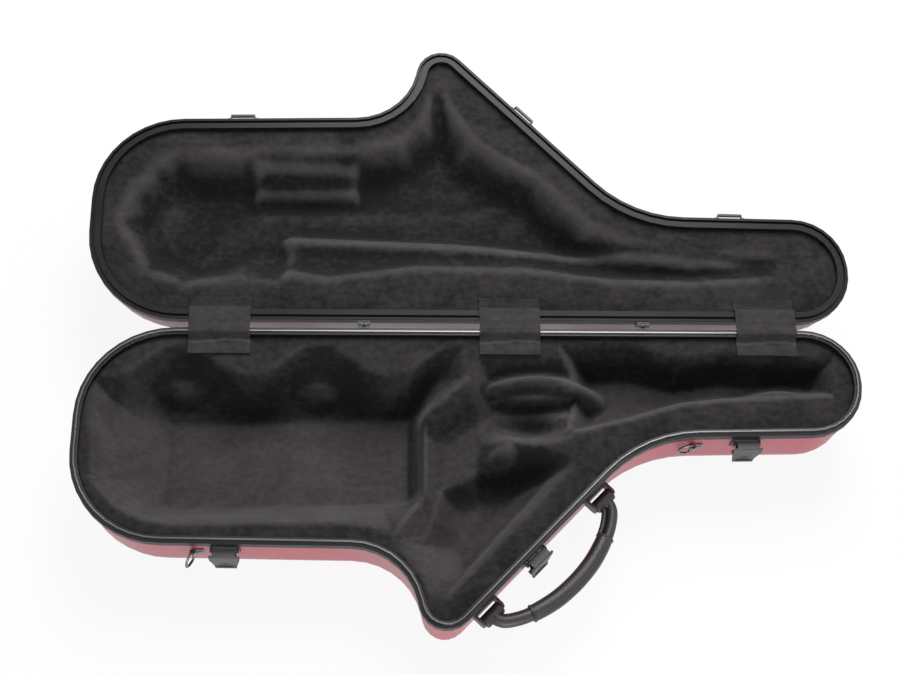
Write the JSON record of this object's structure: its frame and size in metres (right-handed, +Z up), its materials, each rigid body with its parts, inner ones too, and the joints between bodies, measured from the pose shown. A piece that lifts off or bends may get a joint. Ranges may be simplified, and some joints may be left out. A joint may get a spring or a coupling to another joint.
{
  "type": "instrument case",
  "caption": "Shaped hard case for a tenor saxophone, lying open: domed lid on two hinges, moulded velour liners, three draw latches, side handle and two strap rings.",
  "frame": {"origin": "centre of the open case's footprint, on the surface that it lies on", "axes": "+X along the case from its bow end to its neck end, +Y from the base half towards the lid half, +Z up"},
  "size_m": [0.8298, 0.6574, 0.1331],
  "materials": {
    "shell_red": "satin moulded shell",
    "rim_metal": "dark satin extrusion",
    "velour": "black velour with a short nap",
    "latch_black": "matte black",
    "steel": "plated",
    "leather": "grained black"
  },
  "bodies": {
    "base": {"base_shell": "shell_red", "base_rim": "rim_metal", "base_liner": "velour", "flap_left": "velour", "flap_middle": "velour", "flap_right": "velour", "hinge_left_base_leaf": "latch_black", "hinge_left_pin": "steel", "hinge_right_base_leaf": "latch_black", "hinge_right_pin": "steel", "handle_bracket_lower": "latch_black", "handle_bracket_upper": "latch_black", "ring_tab_left": "steel", "ring_tab_right": "steel", "latch_left_housing": "latch_black", "latch_left_housing_pin": "steel", "latch_slant_housing": "latch_black", "latch_slant_housing_pin": "steel", "latch_right_housing": "latch_black", "latch_right_housing_pin": "steel"},
    "lid": {"lid_shell": "shell_red", "lid_rim": "rim_metal", "lid_liner": "velour", "hinge_left_lid_leaf": "latch_black", "hinge_right_lid_leaf": "latch_black", "keeper_left": "latch_black", "keeper_slant": "latch_black", "keeper_right": "latch_black"},
    "handle": {"handle_strap_lower": "leather", "handle_strap_upper": "leather", "handle_grip": "leather"},
    "ring_left": {"d_ring_left": "steel"},
    "ring_right": {"d_ring_right": "steel"},
    "latch_left_arm": {"latch_left_link": "steel", "latch_left_lever_pin": "steel"},
    "latch_left_handle": {"latch_left_lever": "latch_black"},
    "latch_slant_arm": {"latch_slant_link": "steel", "latch_slant_lever_pin": "steel"},
    "latch_slant_handle": {"latch_slant_lever": "latch_black"},
    "latch_right_arm": {"latch_right_link": "steel", "latch_right_lever_pin": "steel"},
    "latch_right_handle": {"latch_right_lever": "latch_black"}
  },
  "joints": [
    {"name": "lid_hinge", "type": "hinge", "parent": "base", "child": "lid", "pos_m": [-0.00038, 0.00043, 0.0972], "axis": [1, 0, 0], "range_deg": [0, 173.7], "deforming": ["flap_left", "flap_middle", "flap_right"]},
    {"name": "latch_left_link_turn", "type": "hinge", "parent": "base", "child": "latch_left_arm", "pos_m": [-0.25406, -0.2446, 0.079], "axis": [-0.9998, 0.0202, 0], "range_deg": [0, 124]},
    {"name": "latch_left_lever_turn", "type": "hinge", "parent": "latch_left_arm", "child": "latch_left_handle", "pos_m": [-0.25416, -0.24966, 0.06946], "axis": [-0.9998, 0.0202, 0], "range_deg": [-124, 0]},
    {"name": "latch_slant_link_turn", "type": "hinge", "parent": "base", "child": "latch_slant_arm", "pos_m": [0.06057, -0.25126, 0.079], "axis": [-0.7035, -0.7107, 0], "range_deg": [0, 124]},
    {"name": "latch_slant_lever_turn", "type": "hinge", "parent": "latch_slant_arm", "child": "latch_slant_handle", "pos_m": [0.06417, -0.25483, 0.06946], "axis": [-0.7035, -0.7107, 0], "range_deg": [-124, 0]},
    {"name": "latch_right_link_turn", "type": "hinge", "parent": "base", "child": "latch_right_arm", "pos_m": [0.28863, -0.12847, 0.079], "axis": [-0.9999, -0.0156, 0], "range_deg": [0, 124]},
    {"name": "latch_right_lever_turn", "type": "hinge", "parent": "latch_right_arm", "child": "latch_right_handle", "pos_m": [0.28871, -0.13354, 0.06946], "axis": [-0.9999, -0.0156, 0], "range_deg": [-124, 0]},
    {"name": "handle_swing", "type": "hinge", "parent": "base", "child": "handle", "pos_m": [0.07609, -0.24482, 0.057], "axis": [-0.7035, -0.7107, 0], "range_deg": [-60, 50]},
    {"name": "ring_left_turn", "type": "hinge", "parent": "base", "child": "ring_left", "pos_m": [-0.28722, -0.24238, 0.062], "axis": [0, 0, 1], "range_deg": [-62, 98]},
    {"name": "ring_right_turn", "type": "hinge", "parent": "base", "child": "ring_right", "pos_m": [0.23362, -0.12778, 0.062], "axis": [0, 0, 1], "range_deg": [-5, 155]}
  ],
  "couplings": [
    {"joint": "latch_left_lever_turn", "follows": "latch_left_link_turn", "ratio": -1},
    {"joint": "latch_slant_lever_turn", "follows": "latch_slant_link_turn", "ratio": -1},
    {"joint": "latch_right_lever_turn", "follows": "latch_right_link_turn", "ratio": -1}
  ]
}
